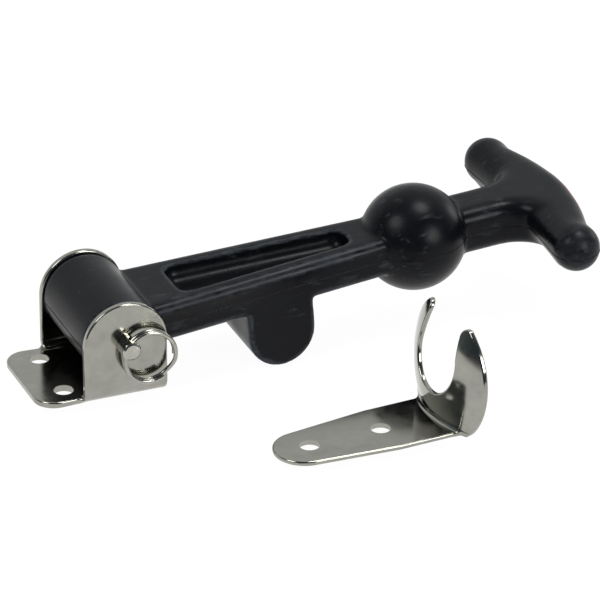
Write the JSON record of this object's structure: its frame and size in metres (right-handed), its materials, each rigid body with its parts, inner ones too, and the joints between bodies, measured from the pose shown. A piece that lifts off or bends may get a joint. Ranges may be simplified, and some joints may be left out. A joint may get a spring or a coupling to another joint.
{
  "type": "rubber T draw latch",
  "caption": "Rubber T draw latch: moulded rubber strap with ball and T handle, hinged by a ringed clevis pin in a steel bracket, with a separate forked keeper.",
  "frame": {"origin": "on the surface the bracket is screwed to, under the clevis pin's axis and midway between the ears", "axes": "+X from the bracket towards the T handle, +Z out of the mounting surface, Y along the clevis pin"},
  "size_m": [0.1606, 0.1145, 0.0407],
  "materials": {
    "stainless": "bright polished stainless sheet",
    "pin_steel": "turned stainless bar",
    "ring_steel": "bright drawn wire",
    "black_rubber": "satin moulded black rubber"
  },
  "bodies": {
    "mounting": {"bracket": "stainless", "keeper": "stainless"},
    "pin": {"clevis_pin": "pin_steel"},
    "ring": {"split_ring": "ring_steel"},
    "strap": {"rubber_strap": "black_rubber"}
  },
  "joints": [
    {"name": "strap_pivot", "type": "hinge", "parent": "mounting", "child": "strap", "pos_m": [0, 0, 0.0167], "axis": [0, -1, 0], "range_deg": [-8, 160]},
    {"name": "pin_turn", "type": "hinge", "parent": "mounting", "child": "pin", "pos_m": [0, 0, 0.0167], "axis": [0, 1, 0], "continuous": true},
    {"name": "ring_swing", "type": "hinge", "parent": "pin", "child": "ring", "pos_m": [0, -0.0204, 0.0167], "axis": [-0.5299, 0, -0.848], "range_deg": [-2, 165]}
  ]
}
